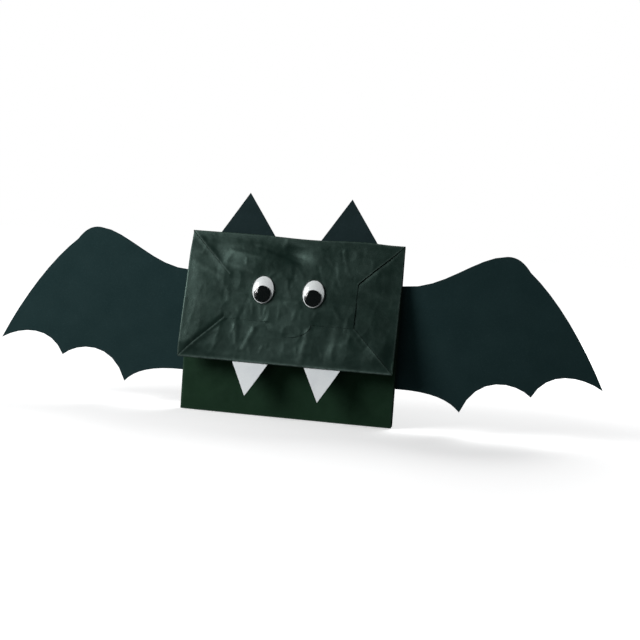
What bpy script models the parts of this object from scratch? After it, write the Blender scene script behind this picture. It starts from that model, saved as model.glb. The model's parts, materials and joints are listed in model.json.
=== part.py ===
"""A bat hand puppet made from a flat-bottomed paper lunch bag.

The bag stands upright, as it is worn on a hand: +Z runs up to the ears, the face looks along -Y and
+X is on the viewer's right. The origin is the middle of the open mouth of the bag, where the hand goes in.

The bag's square bottom is folded down over the front panel and becomes the puppet's head. It hangs from
the top fold, and a strip of the front panel joins its lower edge, the lip, to a crease half a gusset
higher up. Lip, top fold, crease and the foot of the front panel are the four fold lines that the mouth
works with. Each side of the bag is a gusset folded inwards along its middle.
"""

import math

import bmesh
import bpy
from mathutils import Matrix, Vector

# Bag, in metres
BAG_WIDTH = 0.1314
BAG_GUSSET = 0.079
BODY_HEIGHT = 0.110
BAG_DEPTH = 0.006
PAPER = 0.00025
CARD = 0.0003
GAP = 0.0003

# Face: the folded bag bottom, measured from its own edges
FOLD_INSET = 0.026
UPPER_FLAP_EDGE = 0.0255
TONGUE_WIDTH = 0.028
TONGUE_DROP = 0.0085
FLAP_OVERLAP = 0.012
TUCK_REACH = 0.034

TONGUE_ROUNDNESS = 0.55

# Corner folds of the gussets inside the head, cut short where the real paper crumples
TOP_CLEARANCE = 0.0015
HEAD_PLEAT_BLUNT = 0.006
LIP_PLEAT_START = 0.014

# Clearance left open where the strip under the head meets the front panel
MOUTH_CLEARANCE = 0.0035

# Wings, seen from the front; the right one, as (x, z)
WING_ROOT_TOP = 0.0855
WING_ROOT_BOTTOM = 0.0231
WING_TAB = 0.015
FOLD_CLEARANCE = 0.0002
WING_SHOULDER = (0.1263, 0.1077)
WING_ELBOW = (0.1407, 0.0994)
WING_TIP = (0.188, 0.0332)
WING_OUTER_POINT = (0.1467, 0.0256)
WING_INNER_POINT = (0.1051, 0.0125)

# Ears
EAR_SPACING = 0.063
EAR_WIDTH = 0.0346
EAR_TOP = 0.1352
EAR_TAB = 0.014

# Fangs, measured along the strip that they are glued to
FANG_CENTRES = (-0.0205, 0.0235)
FANG_WIDTH = 0.022
FANG_LENGTH = 0.021
FANG_TAB = 0.007

# Eyes, placed on the face as (x, height above the lip)
EYE_CENTRES = {"left": (-0.0173, 0.0445), "right": (0.0137, 0.0443)}
EYE_WIDTH = 0.014
EYE_HEIGHT = 0.018
EYE_BACKING = 0.0006
EYE_WALL = 0.0006
EYE_RIM = 0.0016
EYE_DOME = 0.0019
PUPIL_DIAMETER = 0.0103
PUPIL_THICKNESS = 0.0008
PUPIL_DROP = 0.0028

# Worked out from the above
HALF = BAG_WIDTH / 2
STRIP = BAG_GUSSET / 2
CREASE_HEIGHT = BODY_HEIGHT - STRIP
Y_BACK = BAG_DEPTH / 2
Y_FRONT = -BAG_DEPTH / 2
FOLD_X = HALF - STRIP

COLOURS = {
    "bag": ((0.014, 0.027, 0.022), 0.5),
    "bag_inside": ((0.010, 0.019, 0.015), 0.6),
    "card": ((0.009, 0.019, 0.020), 0.85),
    "ear": ((0.012, 0.020, 0.024), 0.85),
    "fang": ((0.58, 0.61, 0.62), 0.8),
    "eye_white": ((0.80, 0.80, 0.78), 0.5),
    "pupil": ((0.006, 0.006, 0.007), 0.35),
}
LENS_COLOUR = (0.95, 0.97, 1.0)
LENS_ALPHA = 0.3

# How far a curve's handle reaches, as a share of the radius, for a quarter of a circle
QUARTER_ROUND = 0.5523

# A unit sphere's equator counts as part of its upper half within this
EQUATOR_MARGIN = 0.01


def head_tilt():
    """The angle of the closed head from vertical, where head and strip just span the bag's depth."""
    span = math.hypot(BAG_DEPTH, STRIP)
    to_crease = math.atan2(BAG_DEPTH, STRIP)
    cosine = (span**2 + BAG_GUSSET**2 - STRIP**2) / (2 * span * BAG_GUSSET)
    return to_crease + math.acos(cosine)


TILT = head_tilt()
LIP = Vector((0, Y_BACK - BAG_GUSSET * math.sin(TILT), BODY_HEIGHT - BAG_GUSSET * math.cos(TILT)))
CREASE = Vector((0, Y_FRONT, CREASE_HEIGHT))
TOP_FOLD = Vector((0, Y_BACK, BODY_HEIGHT))
X_AXIS = Vector((1, 0, 0))


def plane(origin, up):
    """A matrix whose local x is +X, local y runs along up, and local z faces the viewer."""
    up = up.normalized()
    out = X_AXIS.cross(up)
    rotation = Matrix((X_AXIS, up, out)).transposed().to_4x4()
    return Matrix.Translation(origin) @ rotation


FACE = plane(LIP, TOP_FOLD - LIP)
UNDERSIDE = plane(LIP, CREASE - LIP)
UPRIGHT = plane(Vector((0, 0, 0)), Vector((0, 0, 1)))


def clear_scene():
    for obj in list(bpy.data.objects):
        bpy.data.objects.remove(obj, do_unlink=True)


def material(name, colour, roughness, alpha=1.0):
    made = bpy.data.materials.new(name)
    made.use_nodes = True
    shader = made.node_tree.nodes["Principled BSDF"]
    shader.inputs["Base Color"].default_value = (*colour, 1)
    shader.inputs["Roughness"].default_value = roughness
    shader.inputs["Metallic"].default_value = 0
    shader.inputs["Alpha"].default_value = alpha
    return made


class Pivot:
    """An empty on a fold line, which carries everything that turns about that line."""

    def __init__(self, name, at, collection, parent=None):
        self.empty = bpy.data.objects.new(name, None)
        self.empty.empty_display_size = 0.01
        collection.objects.link(self.empty)
        self.at = Vector(at)
        self.empty.location = self.at
        if parent is not None:
            self.empty.parent = parent.empty
            self.empty.matrix_parent_inverse = Matrix.Translation(-parent.at)

    def carry(self, obj):
        obj.parent = self.empty
        obj.matrix_parent_inverse = Matrix.Translation(-self.at)


def corner(point):
    """An outline point where two straight edges meet."""
    return (point, None, None)


def sheet(name, outline, where, offset, thickness, curve_steps=8):
    """A flat piece cut to an outline.

    outline is a list of (point, handle before, handle after); offset is the sheet's middle along the
    local z of where. A handle of None leaves that side of the point straight.
    """
    curve = bpy.data.curves.new(name, "CURVE")
    curve.dimensions = "2D"
    curve.fill_mode = "BOTH"
    curve.extrude = thickness / 2
    curve.resolution_u = curve_steps
    spline = curve.splines.new("BEZIER")
    spline.bezier_points.add(len(outline) - 1)
    spline.use_cyclic_u = True
    for target, (point, before, after) in zip(spline.bezier_points, outline):
        target.co = (*point, 0)
        target.handle_left_type = "FREE" if before else "VECTOR"
        target.handle_right_type = "FREE" if after else "VECTOR"
        if before:
            target.handle_left = (*before, 0)
        if after:
            target.handle_right = (*after, 0)
    obj = bpy.data.objects.new(name, curve)
    obj.matrix_world = where @ Matrix.Translation((0, 0, offset))
    return obj


def mirrored(outline):
    """The same outline on the other side of the local y axis."""

    def flip(point):
        return (-point[0], point[1]) if point else None

    return [(flip(point), flip(after), flip(before)) for point, before, after in reversed(outline)]


def rectangle(x0, x1, y0, y1):
    return [corner((x0, y0)), corner((x1, y0)), corner((x1, y1)), corner((x0, y1))]


def add(obj, collection, look, pivot=None):
    collection.objects.link(obj)
    if look == "lens":
        made = material(obj.name, LENS_COLOUR, 0.05, LENS_ALPHA)
    else:
        made = material(obj.name, *COLOURS[look])
    obj.data.materials.clear()
    obj.data.materials.append(made)
    if pivot is not None:
        pivot.carry(obj)
    return obj


def make_body(parts, front_pivot):
    """The back panel, the front panel below the mouth, and the two gussets folded in between them."""
    back = rectangle(-HALF, HALF, 0, BODY_HEIGHT)
    add(sheet("back_panel", back, UPRIGHT, -Y_BACK - PAPER / 2, PAPER), parts, "bag")
    front = rectangle(-HALF, HALF, 0, CREASE_HEIGHT - GAP)
    add(sheet("front_panel", front, UPRIGHT, -Y_FRONT + PAPER / 2, PAPER), parts, "bag", front_pivot)

    edge = HALF - GAP
    side_y = Y_BACK - GAP - PAPER / 2
    fold_y = GAP + PAPER / 2
    lean = math.atan2(side_y - fold_y, edge - FOLD_X)
    length = math.hypot(side_y - fold_y, edge - FOLD_X)
    rear_top = BODY_HEIGHT - 6 * GAP - TOP_CLEARANCE
    rear = [
        corner((0, 0)),
        corner((length, 0)),
        corner((length, CREASE_HEIGHT)),
        corner((TOP_CLEARANCE, rear_top)),
        corner((0, rear_top)),
    ]
    front = rectangle(0, length, 0, CREASE_HEIGHT - GAP)
    for side, sign in (("left", -1), ("right", 1)):
        for half, outline, depth, pivot in (
            ("rear", rear, side_y, None),
            ("front", front, -side_y, front_pivot),
        ):
            inward = Vector((-sign * math.cos(lean), -math.copysign(math.sin(lean), depth), 0))
            up = Vector((0, 0, 1))
            rotation = Matrix((inward, up, inward.cross(up))).transposed().to_4x4()
            where = Matrix.Translation((sign * edge, depth, 0)) @ rotation
            piece = sheet(f"{side}_gusset_{half}", outline, where, 0, PAPER)
            add(piece, parts, "bag_inside", pivot)


def make_face(parts, head_pivot):
    """The folded bag bottom: two side tucks, then the lower flap, then the upper flap with its tongue."""
    top = BAG_GUSSET
    level = GAP + PAPER / 2
    step = PAPER + GAP
    inner = HALF - FOLD_INSET
    tuck = [
        corner((HALF, 2 * GAP)),
        corner((HALF, top - 2 * GAP)),
        corner((HALF - TUCK_REACH, top - TUCK_REACH)),
        corner((HALF - TUCK_REACH, TUCK_REACH)),
    ]
    right = sheet("right_side_tuck", tuck, FACE, level, PAPER)
    left = sheet("left_side_tuck", mirrored(tuck), FACE, level, PAPER)
    add(right, parts, "bag", head_pivot)
    add(left, parts, "bag", head_pivot)

    lower_edge = UPPER_FLAP_EDGE + FLAP_OVERLAP
    lower = [
        corner((-HALF, 0)),
        corner((HALF, 0)),
        corner((inner, FOLD_INSET)),
        corner((inner, lower_edge)),
        corner((-inner, lower_edge)),
        corner((-inner, FOLD_INSET)),
    ]
    add(sheet("lower_bottom_flap", lower, FACE, level + step, PAPER), parts, "bag", head_pivot)

    edge = UPPER_FLAP_EDGE
    half_tongue = TONGUE_WIDTH / 2
    tip = edge - TONGUE_DROP
    upper = [
        corner((-HALF, top)),
        corner((-inner, top - FOLD_INSET)),
        corner((-inner, edge)),
        ((-half_tongue, edge), None, (-half_tongue, edge - TONGUE_DROP * TONGUE_ROUNDNESS)),
        ((0, tip), (-half_tongue * TONGUE_ROUNDNESS, tip), (half_tongue * TONGUE_ROUNDNESS, tip)),
        ((half_tongue, edge), (half_tongue, edge - TONGUE_DROP * TONGUE_ROUNDNESS), None),
        corner((inner, edge)),
        corner((inner, top - FOLD_INSET)),
        corner((HALF, top)),
    ]
    add(sheet("upper_bottom_flap", upper, FACE, level + 2 * step, PAPER), parts, "bag", head_pivot)


def make_pleats(parts, head_pivot, lip_pivot):
    """The folded corner triangles of the side gussets inside the head."""
    edge = HALF - GAP
    blunt = HEAD_PLEAT_BLUNT
    deep = LIP_PLEAT_START
    middle = BAG_GUSSET / 2
    head = [
        corner((edge, blunt + GAP)),
        corner((edge, BAG_GUSSET - blunt)),
        corner((edge - blunt, BAG_GUSSET - blunt)),
        corner((edge - middle + GAP, middle)),
        corner((edge - blunt, blunt + GAP)),
    ]
    reach = STRIP - MOUTH_CLEARANCE
    strip = [
        corner((edge, deep)),
        corner((edge, reach)),
        corner((edge - reach, reach)),
        corner((edge - deep, deep)),
    ]
    behind = -GAP - PAPER / 2
    above = PAPER + GAP
    for side, flip in (("left", mirrored), ("right", list)):
        add(sheet(f"{side}_head_pleat", flip(head), FACE, behind, PAPER), parts, "bag_inside", head_pivot)
        strip_pleat = sheet(f"{side}_lip_pleat", flip(strip), UNDERSIDE, above, PAPER)
        add(strip_pleat, parts, "bag_inside", lip_pivot)


def make_underside(parts, lip_pivot):
    """The strip that joins the lip to the front panel, and the two fangs glued under it."""
    strip = rectangle(-HALF, HALF, 2 * GAP, STRIP - MOUTH_CLEARANCE)
    add(sheet("mouth_strip", strip, UNDERSIDE, 0, PAPER), parts, "bag", lip_pivot)
    under = -(PAPER / 2 + GAP + CARD / 2)
    for side, centre in zip(("left", "right"), FANG_CENTRES):
        outline = [
            corner((centre - FANG_WIDTH / 2, FANG_TAB)),
            corner((centre - FANG_WIDTH / 2, 0)),
            corner((centre, -FANG_LENGTH)),
            corner((centre + FANG_WIDTH / 2, 0)),
            corner((centre + FANG_WIDTH / 2, FANG_TAB)),
        ]
        add(sheet(f"{side}_fang", outline, UNDERSIDE, under, CARD), parts, "fang", lip_pivot)


def wing_outline(root):
    """The free part of the right wing: round shoulder, long leading edge and three scallops."""
    return [
        ((root, WING_ROOT_TOP), None, (0.090, 0.085)),
        (WING_SHOULDER, (0.108, 0.1067), (0.1325, 0.1083)),
        (WING_ELBOW, (0.1371, 0.1045), (0.1567, 0.0860)),
        (WING_TIP, (0.1748, 0.0605), (0.175, 0.0411)),
        (WING_OUTER_POINT, (0.155, 0.0431), (0.137, 0.0340)),
        (WING_INNER_POINT, (0.1140, 0.0373), (0.099, 0.0194)),
        ((root, WING_ROOT_BOTTOM), (0.088, 0.0236), None),
    ]


def make_wings_and_ears(parts):
    """Card wings with a fold at the bag's edge, and card ears, all glued to the back of the bag."""
    behind = -(Y_BACK + PAPER + GAP + CARD / 2)
    fold = HALF + GAP
    tab = rectangle(fold - WING_TAB, fold - FOLD_CLEARANCE, WING_ROOT_BOTTOM, WING_ROOT_TOP)
    blade = wing_outline(fold + FOLD_CLEARANCE)
    half_ear = EAR_WIDTH / 2
    ear_foot = BODY_HEIGHT - EAR_TAB
    for side, sign, flip in (("left", -1, mirrored), ("right", 1, list)):
        pivot = Pivot(f"{side}_wing_fold", (sign * fold, -behind, 0), parts)
        add(sheet(f"{side}_wing_tab", flip(tab), UPRIGHT, behind, CARD), parts, "card")
        add(sheet(f"{side}_wing", flip(blade), UPRIGHT, behind, CARD), parts, "card", pivot)
        x = sign * EAR_SPACING / 2
        ear = [
            corner((x - half_ear, ear_foot)),
            corner((x + half_ear, ear_foot)),
            corner((x + half_ear, BODY_HEIGHT - 2 * GAP)),
            corner((x, EAR_TOP)),
            corner((x - half_ear, BODY_HEIGHT - 2 * GAP)),
        ]
        add(sheet(f"{side}_ear", ear, UPRIGHT, behind, CARD), parts, "ear")


def ellipse(centre, half_width, half_height):
    """A closed oval outline of four curved quarters."""
    x, y = centre
    a, b = half_width, half_height
    handle = QUARTER_ROUND
    return [
        ((x + a, y), (x + a, y - b * handle), (x + a, y + b * handle)),
        ((x, y + b), (x + a * handle, y + b), (x - a * handle, y + b)),
        ((x - a, y), (x - a, y + b * handle), (x - a, y - b * handle)),
        ((x, y - b), (x - a * handle, y - b), (x + a * handle, y - b)),
    ]


def keep_open(mesh):
    """Cuts a unit sphere down to its upper half, with one more ring below for the upright rim."""
    work = bmesh.new()
    work.from_mesh(mesh)
    low = [v for v in work.verts if v.co.z < -EQUATOR_MARGIN]
    bmesh.ops.delete(work, geom=low, context="VERTS")
    border = [e for e in work.edges if e.is_boundary]
    made = bmesh.ops.extrude_edge_only(work, edges=border)["geom"]
    for vertex in (g for g in made if isinstance(g, bmesh.types.BMVert)):
        vertex.co.z = -1
    bmesh.ops.recalc_face_normals(work, faces=work.faces)
    work.to_mesh(mesh)
    work.free()


def lens(name, centre, floor):
    """A clear oval shell: an upright rim with a domed top, open at the back."""
    bpy.ops.mesh.primitive_uv_sphere_add(segments=32, ring_count=12, radius=1)
    obj = bpy.context.object
    obj.name = name
    mesh = obj.data
    mesh.name = name
    half_width = EYE_WIDTH / 2 - EYE_WALL / 2
    half_height = EYE_HEIGHT / 2 - EYE_WALL / 2
    keep_open(mesh)
    for vertex in mesh.vertices:
        x, y, z = vertex.co
        depth = z * EYE_DOME + EYE_RIM if z > -EQUATOR_MARGIN else 0
        vertex.co = (x * half_width, y * half_height, depth)
    shell = obj.modifiers.new("wall", "SOLIDIFY")
    shell.thickness = EYE_WALL
    shell.offset = 0
    obj.matrix_world = FACE @ Matrix.Translation((*centre, floor))
    for user in list(obj.users_collection):
        user.objects.unlink(obj)
    return obj


def make_eyes(parts, head_pivot):
    """Two oval wobbly eyes on the upper flap, each a white backing, a clear dome and a loose pupil."""
    face_top = GAP + PAPER + 2 * (PAPER + GAP)
    for side, centre in EYE_CENTRES.items():
        backing_level = face_top + GAP + EYE_BACKING / 2
        outline = ellipse(centre, EYE_WIDTH / 2, EYE_HEIGHT / 2)
        backing = sheet(f"{side}_eye_backing", outline, FACE, backing_level, EYE_BACKING)
        add(backing, parts, "eye_white", head_pivot)

        floor = face_top + GAP + EYE_BACKING + GAP
        add(lens(f"{side}_eye_lens", centre, floor), parts, "lens", head_pivot)

        rest = (centre[0], centre[1] - PUPIL_DROP)
        pupil_level = floor + PUPIL_THICKNESS / 2
        radius = PUPIL_DIAMETER / 2
        pupil = sheet(f"{side}_pupil", ellipse(rest, radius, radius), FACE, pupil_level, PUPIL_THICKNESS)
        add(pupil, parts, "pupil", head_pivot)


def main():
    clear_scene()
    parts = bpy.data.collections.new("paper_bag_bat_puppet")
    bpy.context.scene.collection.children.link(parts)
    head_pivot = Pivot("top_fold", TOP_FOLD, parts)
    lip_pivot = Pivot("lip_fold", LIP, parts, parent=head_pivot)
    front_pivot = Pivot("front_panel_foot", (0, Y_FRONT, 0), parts)
    make_body(parts, front_pivot)
    make_face(parts, head_pivot)
    make_pleats(parts, head_pivot, lip_pivot)
    make_underside(parts, lip_pivot)
    make_wings_and_ears(parts)
    make_eyes(parts, head_pivot)


main()
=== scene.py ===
"""The looks of the paper bag bat puppet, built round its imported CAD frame.

Every sheet of paper takes its outline from its CAD node, is filled with a fine mesh, and gets its folds,
creases and layers from height functions. Lengths in the height functions are in millimetres, measured in
the plane of the sheet: x to the viewer's right, y up the sheet, height towards the viewer.
"""

import math

import bmesh
import bpy
import numpy as np
from mathutils import Matrix, Vector
from mathutils.geometry import delaunay_2d_cdt
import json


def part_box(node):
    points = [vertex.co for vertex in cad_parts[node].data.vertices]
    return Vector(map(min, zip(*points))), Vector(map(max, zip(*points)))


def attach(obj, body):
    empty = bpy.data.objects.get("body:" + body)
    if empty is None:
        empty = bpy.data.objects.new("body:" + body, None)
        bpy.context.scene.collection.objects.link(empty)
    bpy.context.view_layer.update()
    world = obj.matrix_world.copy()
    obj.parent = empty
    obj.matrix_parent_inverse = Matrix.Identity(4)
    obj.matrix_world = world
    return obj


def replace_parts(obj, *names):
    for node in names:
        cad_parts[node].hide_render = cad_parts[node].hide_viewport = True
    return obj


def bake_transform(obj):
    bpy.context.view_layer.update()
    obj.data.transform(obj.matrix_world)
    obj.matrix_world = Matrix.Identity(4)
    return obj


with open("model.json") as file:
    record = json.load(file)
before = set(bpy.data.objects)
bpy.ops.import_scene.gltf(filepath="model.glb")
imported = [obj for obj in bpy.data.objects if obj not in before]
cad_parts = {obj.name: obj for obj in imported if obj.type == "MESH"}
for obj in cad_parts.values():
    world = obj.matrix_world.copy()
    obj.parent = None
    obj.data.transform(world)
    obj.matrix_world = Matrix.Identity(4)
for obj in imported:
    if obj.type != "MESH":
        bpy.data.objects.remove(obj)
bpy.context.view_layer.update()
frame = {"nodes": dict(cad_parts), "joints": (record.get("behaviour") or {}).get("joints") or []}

MM = 0.001
X_AXIS = Vector((1, 0, 0))
Z_AXIS = Vector((0, 0, 1))

# Places that come from the frame
JOINTS = {joint["name"]: joint for joint in frame["joints"]}
TOP_FOLD = Vector(JOINTS["head_lift"]["pos_m"])
LIP = Vector(JOINTS["lip_fold"]["pos_m"])
FOOT = Vector(JOINTS["front_panel_swing"]["pos_m"])
CREASE = Vector((0, FOOT.y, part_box("front_panel")[1].z))
HALF_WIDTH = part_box("back_panel")[1].x
BODY_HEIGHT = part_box("back_panel")[1].z
FACE_HEIGHT = (TOP_FOLD - LIP).length
FOLD_DEPTH = FACE_HEIGHT / 2

# Thickness of the papers, in millimetres
BAG_PAPER = 0.2
CARD = 0.28
SEAM_PAPER = 0.12

# Mesh spacing, in millimetres: the face, ears and fangs, the panels, the wings, and the hidden strip
FACE_MESH = 0.8
PANEL_MESH = 1.1
WING_MESH = 1.2
STRIP_MESH = 1.6

# Rows of points beside a fold, as distances from it in millimetres
ROLL_ROWS = (0.06, 0.18, 0.36, 0.6)

# How close the filling of an outline comes to its edge, as a share of the spacing
EDGE_MARGIN = 0.4


# ---------------------------------------------------------------- planes and outlines


def plane(origin, up):
    """A matrix whose local x is +X, local y runs along up, and local z faces the viewer."""
    up = up.normalized()
    out = X_AXIS.cross(up)
    rotation = Matrix((X_AXIS, up, out)).transposed().to_4x4()
    return Matrix.Translation(origin) @ rotation


FACE = plane(LIP, TOP_FOLD - LIP)
UNDERSIDE = plane(LIP, CREASE - LIP)


def upright(node):
    """The vertical plane through the middle of a flat upright CAD sheet."""
    low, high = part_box(node)
    return plane(Vector((0, (low.y + high.y) / 2, 0)), Z_AXIS)


def outline_of(node, where):
    """The edge of a flat CAD sheet, anticlockwise, as points in millimetres in the plane's own x and y."""
    into = where.inverted()
    mesh = frame["nodes"][node].data
    spots = [into @ v.co / MM for v in mesh.vertices]
    keys = [(round(p.x, 3), round(p.y, 3)) for p in spots]
    follows = {}
    pairs = set()
    for face in mesh.polygons:
        corners = [spots[i] for i in face.vertices]
        normal = (corners[1] - corners[0]).cross(corners[2] - corners[0])
        if normal.length > 1e-9 and normal.normalized().z > 0.9:
            around = [keys[i] for i in face.vertices]
            pairs.update(zip(around, around[1:] + around[:1]))
    for a, b in pairs:
        if (b, a) not in pairs:
            follows[a] = b
    start = min(follows)
    loop = [start]
    while follows[loop[-1]] != start:
        loop.append(follows[loop[-1]])
    return loop


def split_edges(outline, spacing):
    """The outline with points added so that no edge is longer than spacing."""
    made = []
    for (x0, y0), (x1, y1) in zip(outline, outline[1:] + outline[:1]):
        steps = max(1, math.ceil(math.hypot(x1 - x0, y1 - y0) / spacing))
        made += [(x0 + (x1 - x0) * i / steps, y0 + (y1 - y0) * i / steps) for i in range(steps)]
    return made


def inside(points, outline):
    """Which points lie inside the outline, by counting the edges to their right."""
    x, y = points[:, 0], points[:, 1]
    found = np.zeros(len(points), bool)
    for (x0, y0), (x1, y1) in zip(outline, outline[1:] + outline[:1]):
        if y0 == y1:
            continue
        crosses = (y0 > y) != (y1 > y)
        found ^= crosses & (x < (x1 - x0) * (y - y0) / (y1 - y0) + x0)
    return found


def distance_to(points, a, b):
    """How far each point is from the straight line between a and b."""
    a, b = np.array(a, float), np.array(b, float)
    along = b - a
    share = np.clip(((points - a) @ along) / (along @ along), 0, 1)
    return np.linalg.norm(points - a - share[:, None] * along, axis=1)


def filled(outline, spacing, folds=()):
    """Points and triangles that fill an outline evenly, with closer rows beside each fold line."""
    edge = split_edges(outline, spacing)
    low, high = np.min(edge, axis=0), np.max(edge, axis=0)
    row_step = spacing * math.sqrt(3) / 2
    rows = np.arange(low[1] + row_step / 2, high[1], row_step)
    grid = []
    for i, y in enumerate(rows):
        first = low[0] + spacing * (0.25 + 0.5 * (i % 2))
        grid += [(x, y) for x in np.arange(first, high[0], spacing)]
    grid = np.array(grid)
    grid = grid[inside(grid, outline)]
    for a, b in zip(outline, outline[1:] + outline[:1]):
        grid = grid[distance_to(grid, a, b) > EDGE_MARGIN * spacing]
    rows_beside = []
    for a, b in folds:
        grid = grid[distance_to(grid, a, b) > ROLL_ROWS[-1] + EDGE_MARGIN * spacing]
        along = Vector(b) - Vector(a)
        across = Vector((-along.y, along.x)).normalized()
        steps = max(2, math.ceil(along.length / spacing))
        for gap in ROLL_ROWS:
            rows_beside += [Vector(a) + along * (i + 0.5) / steps + across * gap for i in range(steps)]
    if rows_beside:
        beside = np.array([tuple(p) for p in rows_beside])
        beside = beside[inside(beside, outline)]
        for a, b in zip(outline, outline[1:] + outline[:1]):
            beside = beside[distance_to(beside, a, b) > 0.5 * ROLL_ROWS[0]]
        grid = np.concatenate([grid, beside])
    every = [Vector(p) for p in edge] + [Vector(p) for p in grid]
    made = delaunay_2d_cdt(every, [], [list(range(len(edge)))], 1, 1e-5)
    return np.array([tuple(p) for p in made[0]]), [list(f) for f in made[2]]


# ---------------------------------------------------------------- shapes of paper

NOISE_SIZE = 64
NOISE = np.random.default_rng(11).uniform(-1, 1, (NOISE_SIZE, NOISE_SIZE))
NOISE_STEP = (17.3, 9.7)
NOISE_START = (5.1, 2.6)
CREST_SHARPNESS = 0.7


def smooth(share):
    """An even rise from 0 at 0 to 1 at 1, level outside."""
    share = np.clip(share, 0, 1)
    return share * share * (3 - 2 * share)


def fade(value, start, length):
    """An even rise from 0 at start to 1 at a length beyond it."""
    return smooth((value - start) / length)


def ridge(gap, width):
    """A soft ridge of height 1 and the given half width, at a distance from its crest."""
    return np.exp(-((gap / width) ** 2))


def wander(x, y, size, seed):
    """Smooth noise from -1 to 1 whose lumps are about size across."""
    x = x / size + NOISE_STEP[0] * seed + NOISE_START[0]
    y = y / size + NOISE_STEP[1] * seed + NOISE_START[1]
    i, j = np.floor(x).astype(int), np.floor(y).astype(int)
    s, t = smooth(x - i), smooth(y - j)

    def at(di, dj):
        return NOISE[(i + di) % NOISE_SIZE, (j + dj) % NOISE_SIZE]

    near = at(0, 0) * (1 - s) + at(1, 0) * s
    far = at(0, 1) * (1 - s) + at(1, 1) * s
    return near * (1 - t) + far * t


def crumple(x, y, size, seed):
    """Noise with sharp crests, like paper that has been handled."""
    return 1 - 2 * np.abs(wander(x, y, size, seed)) ** CREST_SHARPNESS


def crease(x, y, line, width, height):
    """A ridge, or a valley with a negative height, along a line."""
    return height * ridge(distance_to(np.stack([x, y], -1), *line), width)


def hump(x, y, centre, reach, height, turn=0.0):
    """A soft rise of the given reach along and across, turned by an angle in degrees."""
    c, s = math.cos(math.radians(turn)), math.sin(math.radians(turn))
    u = (x - centre[0]) * c + (y - centre[1]) * s
    v = -(x - centre[0]) * s + (y - centre[1]) * c
    return height * np.exp(-((u / reach[0]) ** 2) - (v / reach[1]) ** 2)


# The sag of the bag's top fold: how far down a sheet it is felt, its dip, and its drooping right corner
SAG_REACH = 30
DIP_DEPTH = 0.95
DIP_CENTRE = 8
DIP_REACH = 22
DROOP_DEPTH = 0.8
DROOP_START = 40
DROOP_LENGTH = 20


def top_sag(x):
    """How far the folded top edge of the bag hangs below a straight line."""
    return DIP_DEPTH * ridge(x - DIP_CENTRE, DIP_REACH) + DROOP_DEPTH * fade(x, DROOP_START, DROOP_LENGTH)


def roll(gap, radius):
    """How far paper has turned away over a fold of that radius, at a distance from the fold's edge."""
    left = np.clip(radius - gap, 0, radius)
    return radius - np.sqrt(np.maximum(radius**2 - left**2, 0))


# ---------------------------------------------------------------- meshes


def new_object(name, vertices, faces):
    mesh = bpy.data.meshes.new(name)
    mesh.from_pydata([tuple(v) for v in vertices], [], faces)
    mesh.validate()
    obj = bpy.data.objects.new(name, mesh)
    bpy.context.scene.collection.objects.link(obj)
    return obj


def applied(obj):
    """Replaces the object's mesh with the one that its modifiers make."""
    graph = bpy.context.evaluated_depsgraph_get()
    mesh = bpy.data.meshes.new_from_object(obj.evaluated_get(graph))
    obj.modifiers.clear()
    obj.data = mesh
    return obj


def shade(obj, angle=35):
    obj.data.shade_smooth()
    obj.data.set_sharp_from_angle(angle=math.radians(angle))
    return obj


def thicken(obj, thickness):
    wall = obj.modifiers.new("thickness", "SOLIDIFY")
    wall.thickness = thickness * MM
    wall.offset = 0
    return shade(applied(obj))


def sheet(name, outline, where, shape, thickness, spacing=FACE_MESH, folds=(), top=None):
    """A sheet of paper cut to an outline. shape(x, y) gives its height and how worn it is, from 0 to 1;
    that wear also paints a highlight along folded edges.

    Where top is given, the sheet sags along its upper edge, which lies at y = top.
    """
    flat, faces = filled(outline, spacing, folds)
    x, y = flat[:, 0], flat[:, 1]
    height, wear_and_highlight = shape(x, y)
    if top is not None:
        y = y - top_sag(x) * smooth(1 - (top - y) / SAG_REACH)
    vertices = [where @ (Vector(p) * MM) for p in np.stack([x, y, height + 0 * x], -1)]
    obj = new_object(name, vertices, faces)
    # The wear attribute holds real rubbing and the painted highlight along folded edges.
    worn_and_highlight = obj.data.attributes.new("wear_and_highlight", "FLOAT", "POINT")
    worn_and_highlight.data.foreach_set("value", (wear_and_highlight + 0 * x).astype(np.float32))
    return thicken(obj, thickness)


def ribbon(name, rows):
    """Folded bag paper through rows of points that all have the same number of points."""
    across = len(rows[0])
    vertices = [p for row in rows for p in row]
    faces = []
    for i in range(len(rows) - 1):
        for j in range(across - 1):
            a = i * across + j
            faces.append((a, a + 1, a + across + 1, a + across))
    obj = new_object(name, vertices, faces)
    obj.data.attributes.new("wear_and_highlight", "FLOAT", "POINT")
    return thicken(obj, BAG_PAPER)


def dress(obj, material):
    obj.data.materials.clear()
    obj.data.materials.append(material)
    return obj


# ---------------------------------------------------------------- materials


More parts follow.
